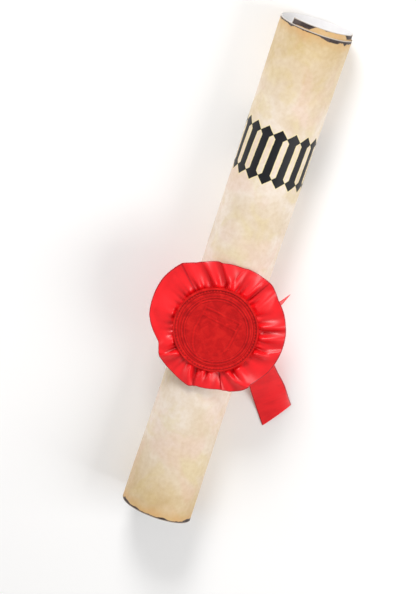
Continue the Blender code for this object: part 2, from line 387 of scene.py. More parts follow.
# Sockets 2 and 3 are a number mix's two values.
char_width = add_node(tree, "Mix", {0: near_head, 2: patchy, 3: at_head}, data_type="FLOAT")
ragged = add_node(
    tree,
    "TexNoise",
    {"Vector": place, "W": 23, "Scale": 1 / 2.4, "Detail": 3},
    noise_dimensions="4D",
)
ragged = add_node(
    tree,
    "MapRange",
    {"Value": ragged, "From Min": 0.5, "From Max": 0.8, "To Min": 0.45, "To Max": 1.15},
)
char_width = add_node(tree, "Math", {0: char_width, 1: ragged}, operation="ADD")
trim = add_node(
    tree,
    "TexNoise",
    {"Vector": place, "W": 25, "Scale": 1 / 6, "Detail": 2},
    noise_dimensions="4D",
)
margin_edge = add_node(
    tree,
    "MapRange",
    {"Value": trim, "To Min": MARGIN - MARGIN_WANDER, "To Max": MARGIN + MARGIN_WANDER},
)
past_margin = add_node(tree, "Math", {0: from_edge, 1: margin_edge}, operation="SUBTRACT")
past_char = add_node(tree, "Math", {0: past_margin, 1: char_width}, operation="SUBTRACT")
charred = add_node(
    tree,
    "MapRange",
    {"Value": past_char, "From Min": -0.1, "From Max": 0.25, "To Min": 1, "To Max": 0},
)
sooty = add_node(
    tree,
    "TexNoise",
    {"Vector": place, "W": 27, "Scale": 1 / 4, "Detail": 3},
    noise_dimensions="4D",
)
char_colour = add_node(
    tree,
    "ValToRGB",
    {"Fac": sooty},
    stops=[(0.4, linear("#2f211e")), (0.65, linear("#574c49"))],
)
base = add_node(tree, "Mix", {0: charred, 6: base, 7: char_colour}, data_type="RGBA")
bare = add_node(
    tree,
    "MapRange",
    {"Value": past_margin, "From Min": -0.05, "From Max": 0.1, "To Min": 1, "To Max": 0},
)
base = add_node(tree, "Mix", {0: bare, 6: base, 7: linear("#c9bfb4")}, data_type="RGBA")
tree.links.new(base, shader.inputs["Base Color"])

# Toner lies a little glossier than the bare card.
gloss = add_node(
    tree,
    "MapRange",
    {"Value": inked, "To Min": CARD_ROUGHNESS, "To Max": TONER_ROUGHNESS},
)
tree.links.new(gloss, shader.inputs["Roughness"])
card_tooth(tree, shader, place)

# The back of the card: plain white, with the faint cloud of its pulp.
plain, tree, shader = new_material("white_card_back", 0.7)
uv = add_node(tree, "UVMap", {})
place = add_node(tree, "Mapping", {"Vector": uv, "Scale": (WIDTH_MM, HEIGHT_MM, 0)})
pulp = add_node(tree, "TexNoise", {"Vector": place, "Scale": 1 / 5, "Detail": 4})
pulp = add_node(
    tree,
    "ValToRGB",
    {"Fac": pulp},
    stops=[(0.3, linear("#f3f1f2")), (0.7, linear("#f9f8f7"))],
)
tree.links.new(pulp, shader.inputs["Base Color"])
card_tooth(tree, shader, place)

# The guillotined edge of the card: its bare core, a little dusty.
cut, tree, shader = new_material("cut_card_edge", 0.8)
place = add_node(tree, "TexCoord", {}).node.outputs["Object"]
core = add_node(tree, "TexNoise", {"Vector": place, "Scale": 1 / (1.2 * MM), "Detail": 3})
core = add_node(
    tree,
    "ValToRGB",
    {"Fac": core},
    stops=[(0.3, linear("#d2c9bd")), (0.7, linear("#e2dbd1"))],
)
tree.links.new(core, shader.inputs["Base Color"])

for surface in (printed, plain, cut):
    paper.data.materials.append(surface)
bpy.ops.object.mode_set(mode="EDIT")
bpy.ops.mesh.select_all(action="SELECT")
bpy.ops.mesh.normals_make_consistent(inside=False)
bpy.ops.object.mode_set(mode="OBJECT")
middle = paper.data.polygons[len(paper.data.polygons) // 2]
out_of_roll = Vector((middle.center.x, 0, middle.center.z - axis_height))
if middle.normal.dot(out_of_roll) < 0:
    paper.data.flip_normals()
wall = paper.modifiers.new("thickness", "SOLIDIFY")
wall.thickness = PAPER_THICKNESS
wall.offset = -1
wall.material_offset = 1
wall.material_offset_rim = 2
bpy.ops.object.modifier_apply(modifier=wall.name)
bpy.ops.object.shade_smooth_by_angle(angle=math.radians(40))
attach(paper, "root")
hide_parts("scroll_sheet")


# ---------------------------------------------------------------- the tie ribbon
# A length of 19 mm double-faced satin ribbon round the roll, pulled into a half knot at its
# side. One short tail points to the head and ends in a long slanting cut, and the other runs
# down to the table.

RIBBON_WIDTH = 19 * MM
RIBBON_THICKNESS = 0.25 * MM
KNOT_ANGLE = math.radians(12)
KNOT_WIDTH = 6.5 * MM
BAND_GATHER = math.radians(38)  # how far from the knot the band starts to gather
BAND_CLEARANCE = 0.4 * MM  # over the paper, for the ribbon's thickness and the paper's dents
KNOT_STANDS_OUT = 1.9 * MM
TIE_ACROSS = 14
CURVE_STEPS = 12

band_radius = ROLL_RADIUS - ROLL_WAIST + OUTSIDE_GAIN + BAND_CLEARANCE
knot_out = band_radius + KNOT_STANDS_OUT
knot = Vector(
    (
        knot_out * math.cos(KNOT_ANGLE),
        rosette.y,
        axis_height + knot_out * math.sin(KNOT_ANGLE),
    )
)


def smooth_through(points):
    """Points on a Catmull-Rom curve through the given ones."""
    points = [Vector(point) for point in points]
    ends = [2 * points[0] - points[1], *points, 2 * points[-1] - points[-2]]
    made = []
    for p0, p1, p2, p3 in zip(ends, ends[1:], ends[2:], ends[3:]):
        for step in range(CURVE_STEPS):
            t = step / CURVE_STEPS
            bend = 2 * p0 - 5 * p1 + 4 * p2 - p3
            twist = 3 * p1 - p0 - 3 * p2 + p3
            made.append((2 * p1 + (p2 - p0) * t + bend * t**2 + twist * t**3) / 2)
    return made + [points[-1]]


def finish_ribbon(strip):
    """Gives a strip of ribbon its thickness and a smooth surface."""
    wall = strip.modifiers.new("thickness", "SOLIDIFY")
    wall.thickness = RIBBON_THICKNESS
    wall.offset = 0
    smooth = strip.modifiers.new("smooth", "SUBSURF")
    smooth.levels = smooth.render_levels = 1
    for modifier in (wall.name, smooth.name):
        bpy.ops.object.modifier_apply(modifier=modifier)
    bpy.ops.object.shade_smooth()
    return strip


def ribbon_strip(name, along, place_point):
    """A grid of ribbon, put in place point by point: u runs along it and v across it."""
    bpy.ops.mesh.primitive_grid_add(x_subdivisions=along, y_subdivisions=TIE_ACROSS, size=1)
    strip = bpy.context.object
    strip.name = name
    for vertex in strip.data.vertices:
        vertex.co = place_point(vertex.co.x + 0.5, 2 * vertex.co.y)
    return finish_ribbon(strip)


def band_point(u, v):
    """The band: a turn round the roll that narrows into pleats at the knot."""
    turn = TAU * u
    from_knot = min(turn, TAU - turn)
    gather = max(0, 1 - from_knot / BAND_GATHER) ** 1.5
    half = RIBBON_WIDTH / 2 * (1 - gather) + KNOT_WIDTH / 2 * gather
    pleat = 0.55 * MM * gather * (1 + math.cos(5 * math.pi * v + 1))
    ripple = 0.10 * MM * (1 + noise.noise((turn * 2.2, v * 1.5, 4)))
    radius = band_radius + pleat + ripple
    angle = KNOT_ANGLE + turn
    drift = 0.4 * MM * math.sin(2 * turn + 1)
    return Vector(
        (
            radius * math.cos(angle),
            rosette.y + v * half + drift,
            axis_height + radius * math.sin(angle),
        )
    )


def tail_placer(route, across, cut_slant, cup, open_by, wave):
    """A tail along a route from the knot, cupped across its width, with its end cut aslant.

    The route is in millimetres from the knot, and across is the way its width lies at each of
    the route's points. It opens to its full width by that many steps of the curve.
    """
    points = [knot + step * MM for step in smooth_through(route)]
    sides = smooth_through(across)
    last = len(points) - 1

    def place_point(u, v):
        where = u * last
        number = min(int(where), last - 1)
        share = where - number
        point = points[number].lerp(points[number + 1], share)
        side = sides[number].lerp(sides[number + 1], share)
        forward = (points[number + 1] - points[number]).normalized()
        side = (side - forward * side.dot(forward)).normalized()
        up = forward.cross(side)
        open_share = min(1, where / open_by)
        open_share = open_share * open_share * (3 - 2 * open_share)
        half = (KNOT_WIDTH + (RIBBON_WIDTH - KNOT_WIDTH) * open_share) / 2
        pleat = 0.7 * MM * (1 - open_share) * math.cos(4 * math.pi * v)
        swell = cup * open_share * (1 - v * v)
        swell += 0.35 * MM * noise.noise((u * 4, v * 1.3, wave))
        slant = forward * (v * cut_slant / 2) * u**6
        return point + side * half * v + up * (pleat + swell) + slant

    return place_point


band = ribbon_strip("band", 150, band_point)
LYING_HEIGHT = 0.45 * MM  # of a tail's middle over the table
down = (LYING_HEIGHT - knot.z) / MM
foot_tail = ribbon_strip(
    "foot_tail",
    70,
    tail_placer(
        route=[
            (0, -1, 0),
            (3.5, -7, -2.0),
            (9.0, -15.5, -7.5),
            (13.4, -25.1, -14.5),
            (18.7, -33.6, down + 2.2),
            (22.5, -39.3, down + 0.4),
            (26.8, -45.1, down),
        ],
        across=[
            (0.2, 0.2, 1),
            (0.6, 0.4, 0.6),
            (0.8, 0.5, 0.25),
            (0.84, 0.54, 0.1),
            (0.84, 0.54, 0.0),
            (0.84, 0.54, 0.0),
            (0.84, 0.54, 0.0),
        ],
        cut_slant=-6.5 * MM,
        cup=1.3 * MM,
        open_by=46,
        wave=1.17,
    ),
)
head_tail = ribbon_strip(
    "head_tail",
    44,
    tail_placer(
        route=[(0, 1, 0), (1.0, 6.5, 1.8), (2.6, 12.5, 3.6), (4.3, 18.5, 5.0)],
        across=[(-0.2, 0, 1), (-0.28, 0, 0.96), (-0.5, 0, 0.87), (-0.6, 0, 0.8)],
        cut_slant=-19 * MM,
        cup=0.6 * MM,
        open_by=22,
        wave=0.54,
    ),
)


WRAP_DEPTH = 2.5 * MM
WRAP_HEIGHT = 4.6 * MM
WRAP_WIDTH = 4.2 * MM
WRAP_LEAN = math.radians(24)


def knot_point(u, v):
    """The wrap of the half knot: a pleated loop of ribbon round the crossing."""
    turn = TAU * u
    pleat = 0.3 * MM * math.cos(3 * math.pi * v + 0.7 + turn)
    squeeze = 1 - 0.25 * v * v
    around = Vector((math.cos(turn) * WRAP_DEPTH, 0, math.sin(turn) * WRAP_HEIGHT)) * squeeze
    around *= 1 + pleat / WRAP_DEPTH
    along = Vector((0, v * WRAP_WIDTH + 1.0 * MM * math.sin(turn), 0))
    lean = Matrix.Rotation(-KNOT_ANGLE, 3, "Y") @ Matrix.Rotation(WRAP_LEAN, 3, "X")
    return knot + lean @ (around + along)


wrap = ribbon_strip("wrap", 48, knot_point)
bpy.ops.object.select_all(action="DESELECT")
for strip in (band, foot_tail, head_tail, wrap):
    strip.select_set(True)
bpy.context.view_layer.objects.active = band
bpy.ops.object.join()
tie = bpy.context.object
tie.name = "tie_ribbon_satin"

# Polyester satin ribbon: long floats of filament thread catch the light in broad streaks, over
# a red with painted shade deep in the folds. The floats run along the ribbon.
SATIN_RED = "#fb1720"
SATIN_DEEP = "#ea0c18"
SATIN_PAINTED_SHADE = "#d00712"  # painted shade, where the mesh says that it is deep in a fold
# The selvage's own darker red, also used for the painted shade along the ruffle's lapped end.
SELVAGE_AND_LAP_SHADE_RED = "#b30f1c"
SELVAGE_MM = 0.8
THREADS_PER_MM = 1.6  # real thread is 5 to the millimetre, too fine to show


def satin_material(name, length_mm, width_mm):
    """Satin whose UV runs along the ribbon in u and across it in v, with woven selvages and painted
    shade where the mesh marks a fold.
    """
    made, tree, shader = new_material(name, 0.36)
    shader.inputs["Anisotropic"].default_value = 0.25
    shader.inputs["Sheen Weight"].default_value = 0.15
    shader.inputs["Sheen Roughness"].default_value = 0.4
    shader.inputs["Sheen Tint"].default_value = linear("#ff8f8f")
    uv = add_node(tree, "UVMap", {})
    where = add_node(tree, "Mapping", {"Vector": uv, "Scale": (length_mm, width_mm, 0)})
    cloudy = add_node(
        tree, "TexNoise", {"Vector": where, "Scale": 0.12, "Detail": 3.0, "Roughness": 0.5}
    )
    red = add_node(
        tree,
        "ValToRGB",
        {"Fac": cloudy},
        stops=[(0.3, linear(SATIN_DEEP)), (0.6, linear(SATIN_RED))],
    )
    # Painted shade: a darker red mixed in by the fold_depth attribute, where the cloth lies below
    # its neighbours.
    painted_fold_shade = add_node(tree, "Attribute", {}, attribute_name="fold_depth").node.outputs["Fac"]
    red = add_node(tree, "Mix", {0: painted_fold_shade, 6: red, 7: linear(SATIN_PAINTED_SHADE)}, data_type="RGBA")
    across = add_node(tree, "SeparateXYZ", {"Vector": uv}).node.outputs[1]
    from_middle = add_node(tree, "Math", {0: across, 1: 0.5}, operation="SUBTRACT")
    from_middle = add_node(tree, "Math", {0: from_middle}, operation="ABSOLUTE")
    selvage = add_node(
        tree,
        "MapRange",
        {
            "Value": from_middle,
            "From Min": 0.5 - SELVAGE_MM / width_mm,
            "From Max": 0.5 - SELVAGE_MM / 2 / width_mm,
        },
    )
    red = add_node(
        tree,
        "Mix",
        {0: selvage, 6: red, 7: linear(SELVAGE_AND_LAP_SHADE_RED)},
        data_type="RGBA",
    )
    tree.links.new(red, shader.inputs["Base Color"])
    threads = add_node(
        tree,
        "TexWave",
        {"Vector": where, "Scale": THREADS_PER_MM / TAU * 2, "Distortion": 0.6, "Detail": 1.0},
        bands_direction="Y",
    )
    weave = add_node(tree, "Bump", {"Height": threads, "Strength": 0.05, "Distance": 0.0001})
    tree.links.new(weave, shader.inputs["Normal"])
    tangent = add_node(tree, "Tangent", {}, direction_type="UV_MAP", uv_map="UVMap")
    tree.links.new(tangent, shader.inputs["Tangent"])
    return made


STRIP_MM = 120  # each strip's u spans 0 to 1, drawn as about the band's length
tie.data.materials.append(satin_material("red_satin_ribbon", STRIP_MM, RIBBON_WIDTH / MM))
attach(tie, "root")
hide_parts("tie_ribbon")


# ---------------------------------------------------------------- the ruffle
# A length of 22 mm satin ribbon, gathered on a thread along one edge until it closes into a
# ring, with its ends lapped. It is stitched flat between the felt disc and the seal, and it
# breaks into pleats as it spreads to its full length at the free edge.

GATHER_RADIUS = 16.8 * MM
HELD_RADIUS = 21.7 * MM  # the seal holds it flat as far as this
RUFFLE_CUT_LENGTH = 235 * MM
RUFFLE_CUT_WIDTH = 22 * MM
RUFFLE_AROUND = 288
RUFFLE_ACROSS = 15
FLANGE_ROWS = 3
SIM_SCALE = 20  # cloth is simulated this much larger, where the solver is steady
SIM_FRAMES = 40

backing_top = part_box("backing_disc")[1][2]
ruffle_height = (backing_top + seal_low.z) / 2
free_width = RUFFLE_CUT_WIDTH - (HELD_RADIUS - GATHER_RADIUS)

# The free edge as it spreads: how far out it reaches, in millimetres, at each angle.
OUTLINE = (
    (13.9, 37.6), (31.5, 37.5), (43.3, 37.3), (56.8, 39), (88.1, 36.4), (103.1, 36.9),
    (123.4, 37.6), (133.9, 40.1), (152.9, 39.5), (185.9, 36.4), (210.6, 31.6), (226.3, 33.9),
    (243.2, 33.8), (259.8, 34.5), (269, 33), (289.8, 33.4), (298.4, 35.1), (309.3, 36.4),
    (319.7, 35.3), (337.2, 36.7), (353.3, 37),
)
# The pleats: angle and width in degrees, height in millimetres, lean in degrees.
PLEATS = (
    (7, 3.4, 3.2, 3), (15, 2.6, -1.3, 2), (23, 3.6, 3.3, -2), (33, 5, -0.8, 0), (46, 6, 3.2, 4),
    (60, 2.6, -1.4, 3), (69, 4.6, 3.6, -4), (79, 2.6, -1.2, 0), (87, 3.4, 4.6, 11),
    (95, 2.6, -1.2, -10), (104, 4, 4.0, 10), (116, 6, -0.5, 0), (127, 4, 2.2, 2),
    (142, 7, 2.0, 0), (160, 8, -0.3, 0), (176, 10, 2.1, 2), (196, 8, -0.3, 0), (213, 6, 2.7, 2),
    (224, 2.3, -1.2, 2), (233, 4, 3.8, -8), (243, 2.6, -1.0, 0), (252, 4, 3.9, 8),
    (262, 2.3, -1.3, 3), (271, 4, 3.1, 0), (282, 4, 2.7, -3), (291, 2.3, -1.3, 4),
    (301, 3.8, 4.6, 12), (309, 2.6, -1.0, -3), (318, 5, 3.4, 0), (331, 7, -0.5, 2),
    (345, 4, 4.4, 10), (354, 2.6, -1.3, -3),
)
# Where one fold lies over the next: its edge, where it runs under again, and its lift. The
# first is the ribbon's own end, lapped over its beginning.
OVERLAPS = ((135, 147, 1.1), (225, 232, 0.9), (264, 272, 1.1), (292, 299, 1.1), (60, 67, 0.9))
TUCK = 0.35 * MM  # how far a lifted fold sinks where it runs under again
PUFF = 0.9 * MM  # how far the whole ruffle swells between its two edges
GATHERS = 47  # small gathers round the thread
GATHER_HEIGHT = 0.6 * MM
FOLD_REACH = 5  # columns looked at to each side for the depth of a fold
FOLD_DEEP = 0.65 * MM
PAPER_CLEARANCE = 0.6 * MM
A_HAIR = 0.01 * MM


def outline_radius(degrees):
    """The outline's radius at an angle, straight from corner to corner."""
    corners = [*OUTLINE, (OUTLINE[0][0] + 360, OUTLINE[0][1])]
    degrees = (degrees - OUTLINE[0][0]) % 360 + OUTLINE[0][0]
    for (low, near), (high, far) in zip(corners, corners[1:]):
        if degrees <= high:
            share = (degrees - low) / (high - low)
            return (near + (far - near) * share) * MM
    return corners[-1][1] * MM


def ruffle_start(turn, outward):
    """Where a point of the ruffle is before the cloth settles; outward is 0 where it is held."""
    degrees = math.degrees(turn) % 360
    reach = outline_radius(degrees)
    radius = HELD_RADIUS + (reach - HELD_RADIUS) * outward
    rise = 0
    swing = 0
    for centre, width, height, lean in PLEATS:
        away = (degrees - centre - lean * outward + 180) % 360 - 180
        shape = math.exp(-((away / (width * (0.75 + 0.6 * outward))) ** 2))
        rise += height * MM * shape
        swing += math.radians(lean * 0.3) * shape * outward
    held = min(1, outward * 5)
    rise *= held * (1 - 0.55 * outward)
    rise += PUFF * math.sin(math.pi * outward)
    gathers = math.sin(GATHERS * turn + 2.2 * math.sin(5 * turn))
    gathers *= GATHER_HEIGHT * min(1, outward * 12) * (1 - outward) ** 4
    return Vector((radius * math.cos(turn + swing), radius * math.sin(turn + swing), rise + gathers))


bpy.ops.mesh.primitive_cylinder_add(
    vertices=RUFFLE_AROUND,
    radius=RUFFLE_CUT_LENGTH / TAU * SIM_SCALE,
    depth=free_width * SIM_SCALE,
    end_fill_type="NOTHING",
)
ruffle = bpy.context.object
ruffle.name = "gathered_ruffle"
bpy.ops.object.mode_set(mode="EDIT")
bpy.ops.mesh.select_mode(type="EDGE")
bpy.ops.mesh.select_all(action="DESELECT")
bpy.ops.object.mode_set(mode="OBJECT")
for edge in ruffle.data.edges:
    ends = [ruffle.data.vertices[number].co.z for number in edge.vertices]
    edge.select = abs(ends[0] - ends[1]) > free_width * SIM_SCALE / 2
bpy.ops.object.mode_set(mode="EDIT")
bpy.ops.mesh.subdivide(number_cuts=RUFFLE_ACROSS - 1)
bpy.ops.object.mode_set(mode="OBJECT")

ruffle.shape_key_add(name="Basis")
flat_cut = ruffle.shape_key_add(name="flat_cut")
basis = ruffle.data.shape_keys.key_blocks["Basis"]
held_group = ruffle.vertex_groups.new(name="held")
# The seal holds the inner row, and the stiff selvage keeps its shape where it is creased.
turns = []
flat_outward = []
rows = {}
for number, vertex in enumerate(ruffle.data.vertices):
    flat = flat_cut.data[number].co
    turn = math.atan2(flat.y, flat.x)
    outward = flat.z / (free_width * SIM_SCALE) + 0.5
    start = ruffle_start(turn, outward) * SIM_SCALE
    basis.data[number].co = start
    vertex.co = start
    degrees = math.degrees(turn) % 360
    turns.append(degrees)
    flat_outward.append(outward)
    rows.setdefault(round(outward * RUFFLE_ACROSS), []).append((degrees, number))
    if outward < 0.5 / RUFFLE_ACROSS:
        held_group.add([number], 1, "REPLACE")
    elif outward > 1 - 0.5 / RUFFLE_ACROSS:
        nearest = min(abs((degrees - corner + 180) % 360 - 180) for corner, reach in OUTLINE)
        if nearest < 180 / RUFFLE_AROUND:
            held_group.add([number], 1, "REPLACE")

cloth = ruffle.modifiers.new("cloth", "CLOTH")
settings = cloth.settings
settings.quality = 6
settings.mass = 0.15
settings.tension_stiffness = 20
settings.compression_stiffness = 20
settings.shear_stiffness = 7
settings.bending_stiffness = 3
settings.tension_damping = 10
settings.compression_damping = 10
settings.shear_damping = 10
settings.bending_damping = 0.5
settings.air_damping = 3
settings.vertex_group_mass = held_group.name
settings.rest_shape_key = flat_cut
settings.effector_weights.gravity = 0.03
cloth.collision_settings.use_collision = False
cloth.collision_settings.use_self_collision = False
scene = bpy.context.scene
cloth.point_cache.frame_start = scene.frame_start = 1
cloth.point_cache.frame_end = scene.frame_end = SIM_FRAMES
for number in range(1, SIM_FRAMES + 1):
    scene.frame_set(number)
settled = bpy.data.meshes.new_from_object(
    ruffle.evaluated_get(bpy.context.evaluated_depsgraph_get())
)
scene.frame_set(1)
ruffle.shape_key_clear()
ruffle.modifiers.clear()
ruffle.data = settled
ruffle.vertex_groups.clear()
for vertex in settled.vertices:
    vertex.co /= SIM_SCALE
settled.attributes.new("turn", "FLOAT", "POINT").data.foreach_set("value", turns)

# How far each point lies below the cloth to both sides of it, from 0 to 1, which sets the painted
# shade that the satin gets in its folds.
fold_depth = [0] * len(turns)
for row in rows.values():
    around = [number for degrees, number in sorted(row)]
    for place, number in enumerate(around):
        near = [around[(place + step) % len(around)] for step in range(-FOLD_REACH, FOLD_REACH)]
        mean = sum(settled.vertices[other].co.z for other in near) / len(near)
        fold_depth[number] = min(1, max(0, (mean - settled.vertices[number].co.z) / FOLD_DEEP))
settled.attributes.new("fold_depth", "FLOAT", "POINT").data.foreach_set("value", fold_depth)

# u runs once round the cut ribbon and v across it, from the gathered edge.
uv_layer = settled.uv_layers.active.data
for polygon in settled.polygons:
    past_start = max(turns[number] for number in polygon.vertices) > 359
    for corner in polygon.loop_indices:
        number = settled.loops[corner].vertex_index
        lap = 1 if past_start and turns[number] < 180 else 0
        reach = flat_outward[number] * free_width + HELD_RADIUS - GATHER_RADIUS
        uv_layer[corner].uv = (turns[number] / 360 + lap, reach / RUFFLE_CUT_WIDTH)

# Folds that lie over their neighbours: a copy of the cloth there, lifted along its edge.
bpy.ops.object.select_all(action="DESELECT")
ruffle.select_set(True)
bpy.context.view_layer.objects.active = ruffle
for edge_angle, under_angle, lift in OVERLAPS:
    bpy.ops.object.mode_set(mode="EDIT")
    bpy.ops.mesh.select_mode(type="FACE")
    bpy.ops.mesh.select_all(action="DESELECT")
    bpy.ops.object.mode_set(mode="OBJECT")
    turn_of = [item.value for item in settled.attributes["turn"].data]
    ring_faces = len(settled.polygons)
    for polygon in settled.polygons:
        inside = [edge_angle <= turn_of[number] <= under_angle for number in polygon.vertices]
        polygon.select = polygon.index < RUFFLE_AROUND * RUFFLE_ACROSS and all(inside)
    bpy.ops.object.mode_set(mode="EDIT")
    bpy.ops.mesh.duplicate()
    bpy.ops.object.mode_set(mode="OBJECT")
    turn_of = [item.value for item in settled.attributes["turn"].data]
    for number in {n for face in settled.polygons[ring_faces:] for n in face.vertices}:
        vertex = settled.vertices[number]
        share = (turn_of[number] - edge_angle) / (under_angle - edge_angle)
        outward = min(1, max(0, vertex.co.xy.length - HELD_RADIUS) / free_width)
        vertex.co.z += lift * MM * (1 - share) * min(1, outward * 4) - TUCK * share

# The held edge runs on under the seal to the thread.
bpy.ops.object.mode_set(mode="EDIT")
bpy.ops.mesh.select_mode(type="EDGE")
bpy.ops.mesh.select_all(action="DESELECT")
bpy.ops.object.mode_set(mode="OBJECT")
for edge in settled.edges:
    ends = [settled.vertices[number].co.xy.length for number in edge.vertices]
    edge.select = max(ends) < HELD_RADIUS + A_HAIR
bpy.ops.object.mode_set(mode="EDIT")
for row in range(FLANGE_ROWS):
    step = (HELD_RADIUS - GATHER_RADIUS) / FLANGE_ROWS
    shrink = 1 - step / (HELD_RADIUS - row * step)
    bpy.ops.mesh.extrude_edges_move()
    bpy.ops.transform.resize(value=(shrink, shrink, 1), center_override=(0, 0, 0))
bpy.ops.object.mode_set(mode="OBJECT")
for loop, corner in zip(settled.loops, settled.uv_layers.active.data):
    radius = settled.vertices[loop.vertex_index].co.xy.length
    if radius < HELD_RADIUS - A_HAIR:
        corner.uv.y = (radius - GATHER_RADIUS) / RUFFLE_CUT_WIDTH

# Nothing sinks into the roll below.
for vertex in settled.vertices:
    vertex.co += Vector((rosette.x, rosette.y, ruffle_height))
    centre_height = axis_height + flare(vertex.co.y)
    clear = roll_radius(vertex.co.y) + PAPER_CLEARANCE
    if abs(vertex.co.x) < clear:
        lowest = centre_height + math.sqrt(clear**2 - vertex.co.x**2)
        vertex.co.z = max(vertex.co.z, lowest)
finish_ribbon(ruffle)
silk = satin_material("red_satin_ruffle", RUFFLE_CUT_LENGTH / MM, RUFFLE_CUT_WIDTH / MM)
ruffle.data.materials.append(silk)

# A darker line is painted along the ribbon's end where it laps over its beginning: painted shade at
# the lapped edge.
tree = silk.node_tree
shader = tree.nodes["Principled BSDF"]
red = shader.inputs["Base Color"].links[0].from_socket
along = add_node(tree, "SeparateXYZ", {"Vector": add_node(tree, "UVMap", {})})
from_end = add_node(tree, "Math", {0: along, 1: OVERLAPS[0][0] / 360}, operation="SUBTRACT")
from_end = add_node(tree, "Math", {0: from_end}, operation="ABSOLUTE")
lap_edge_shade = add_node(
    tree,
    "MapRange",
    {"Value": from_end, "From Min": 0.001, "From Max": 0.003, "To Min": 0.8, "To Max": 0},
)
red = add_node(tree, "Mix", {0: lap_edge_shade, 6: red, 7: linear(SELVAGE_AND_LAP_SHADE_RED)}, data_type="RGBA")
tree.links.new(red, shader.inputs["Base Color"])
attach(ruffle, "root")
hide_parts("ruffle")


# ---------------------------------------------------------------- backing disc and thread
# The disc of craft felt that the rosette is made up on, and the spun thread that draws the
# ruffle's inner edge together. Both keep their CAD solids.

felt, tree, shader = new_material("pressed_wool_felt", 0.95)
shader.inputs["Sheen Weight"].default_value = 0.35
place = add_node(tree, "TexCoord", {}).node.outputs["Object"]
fibres = add_node(
    tree,
    "TexNoise",
    {"Vector": place, "Scale": 1 / (0.9 * MM), "Detail": 4, "Distortion": 1.5},
)
felted = add_node(
    tree,
    "ValToRGB",
    {"Fac": fibres},
    stops=[(0.35, linear("#7d0a12")), (0.65, linear("#a3121a"))],
)
tree.links.new(felted, shader.inputs["Base Color"])
nap = add_node(tree, "Bump", {"Height": fibres, "Strength": 0.5, "Distance": 0.0004})
tree.links.new(nap, shader.inputs["Normal"])
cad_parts["backing_disc"].material_slots[0].material = felt

spun, tree, shader = new_material("spun_cotton_thread", 0.85)
place = add_node(tree, "TexCoord", {}).node.outputs["Object"]
ply = add_node(
    tree, "TexWave", {"Vector": place, "Scale": 1 / (0.8 * MM)}, bands_direction="DIAGONAL"
)
ply = add_node(
    tree,
    "ValToRGB",
    {"Fac": ply},
    stops=[(0.3, linear("#7a0911")), (0.7, linear("#a8131c"))],
)
tree.links.new(ply, shader.inputs["Base Color"])
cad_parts["gathering_thread"].material_slots[0].material = spun


# ---------------------------------------------------------------- the pressed seal
# A disc of red flocked vinyl, heat-pressed to look like sealing wax: a beaded rim, a channel,
# two raised rings that the press left a little off centre, and a plain shield in low relief.
# It is glued over the ruffle's stitched edge.

SEAL_RADIUS = (seal_high.x - seal_low.x) / 2
SEAL_THICKNESS = seal_high.z - seal_low.z
SEAL_WALL = 0.72 * SEAL_THICKNESS
SEAL_AROUND = 240
SEAL_RINGS = 84
FACE_HEIGHT = 0.60 * SEAL_THICKNESS
DISH = 0.45 * MM  # how far the face climbs towards its rim
CHANNEL_DEPTH = 0.35 * MM
BEAD_PITCH = 1.7 * MM
BEAD_CIRCLE = 0.925 * SEAL_RADIUS
BEAD_HEIGHT = 0.42 * MM
RIM_HEIGHT = 0.75 * MM
RING_OFFSET = Vector((0.35 * MM, -0.45 * MM))
# The two rings: radius as a share of the seal's, then height and half width in millimetres.
RINGS = ((0.80, 0.40, 0.55), (0.735, 0.30, 0.45))
SHIELD_LEAN = math.radians(9)
SHIELD_RELIEF = 0.5 * MM
BAR_RELIEF = 0.36 * MM


def ridge(distance, width):
    """A rounded ridge: 1 on its line, 0 at its half width."""
    share = min(1, abs(distance) / width)
    return (1 - share * share) ** 2


def shield_distance(x, y):
    """Signed distance from a plain shield's outline, about 21 mm wide, negative inside."""
    half_width, top, straight = 10.2 * MM, 9.0 * MM, -3.0 * MM
    if y > straight:
        return max(abs(x) - half_width, y - top)
    arc_radius = 17 * MM
    centre_x = half_width - arc_radius
    return math.hypot(abs(x) - centre_x, y - straight) - arc_radius


def seal_height(x, y):
    """Height of the pressed face over the seal's base, at a place from its centre."""
    radius = math.hypot(x, y)
    share = radius / SEAL_RADIUS
    turn = math.atan2(y, x)
    off_centre = math.hypot(x - RING_OFFSET.x, y - RING_OFFSET.y)
    height = FACE_HEIGHT + DISH * share**2
    height -= CHANNEL_DEPTH * ridge(share - 0.88, 0.02)
    bead_turns = round(TAU * BEAD_CIRCLE / BEAD_PITCH)
    bead = max(0, math.cos(bead_turns * turn)) ** 0.7
    height += BEAD_HEIGHT * bead * ridge(radius - BEAD_CIRCLE, 0.62 * MM)
    height += RIM_HEIGHT * ridge(radius - 0.975 * SEAL_RADIUS, 0.7 * MM)
    for ring, rise, half_width in RINGS:
        height += rise * MM * ridge(off_centre - ring * SEAL_RADIUS, half_width * MM)
    u = x * math.cos(SHIELD_LEAN) - y * math.sin(SHIELD_LEAN)
    v = x * math.sin(SHIELD_LEAN) + y * math.cos(SHIELD_LEAN)
    wobble = 0.5 * MM * noise.noise((u * 160, v * 160, 3))
    edge = shield_distance(u, v) + wobble
    worn = 0.5 + 0.5 * noise.noise((x * 110, y * 110, 9))
    height += SHIELD_RELIEF * worn * ridge(edge, 0.9 * MM)
    if edge < 0:
        height += BAR_RELIEF * worn * ridge(v - 4.6 * MM, 0.8 * MM)
    puddle = 0.16 * MM * noise.noise((x * 240, y * 240, 1)) + 0.10 * MM * worn
    return height + puddle * min(1, (1 - share) * 12)


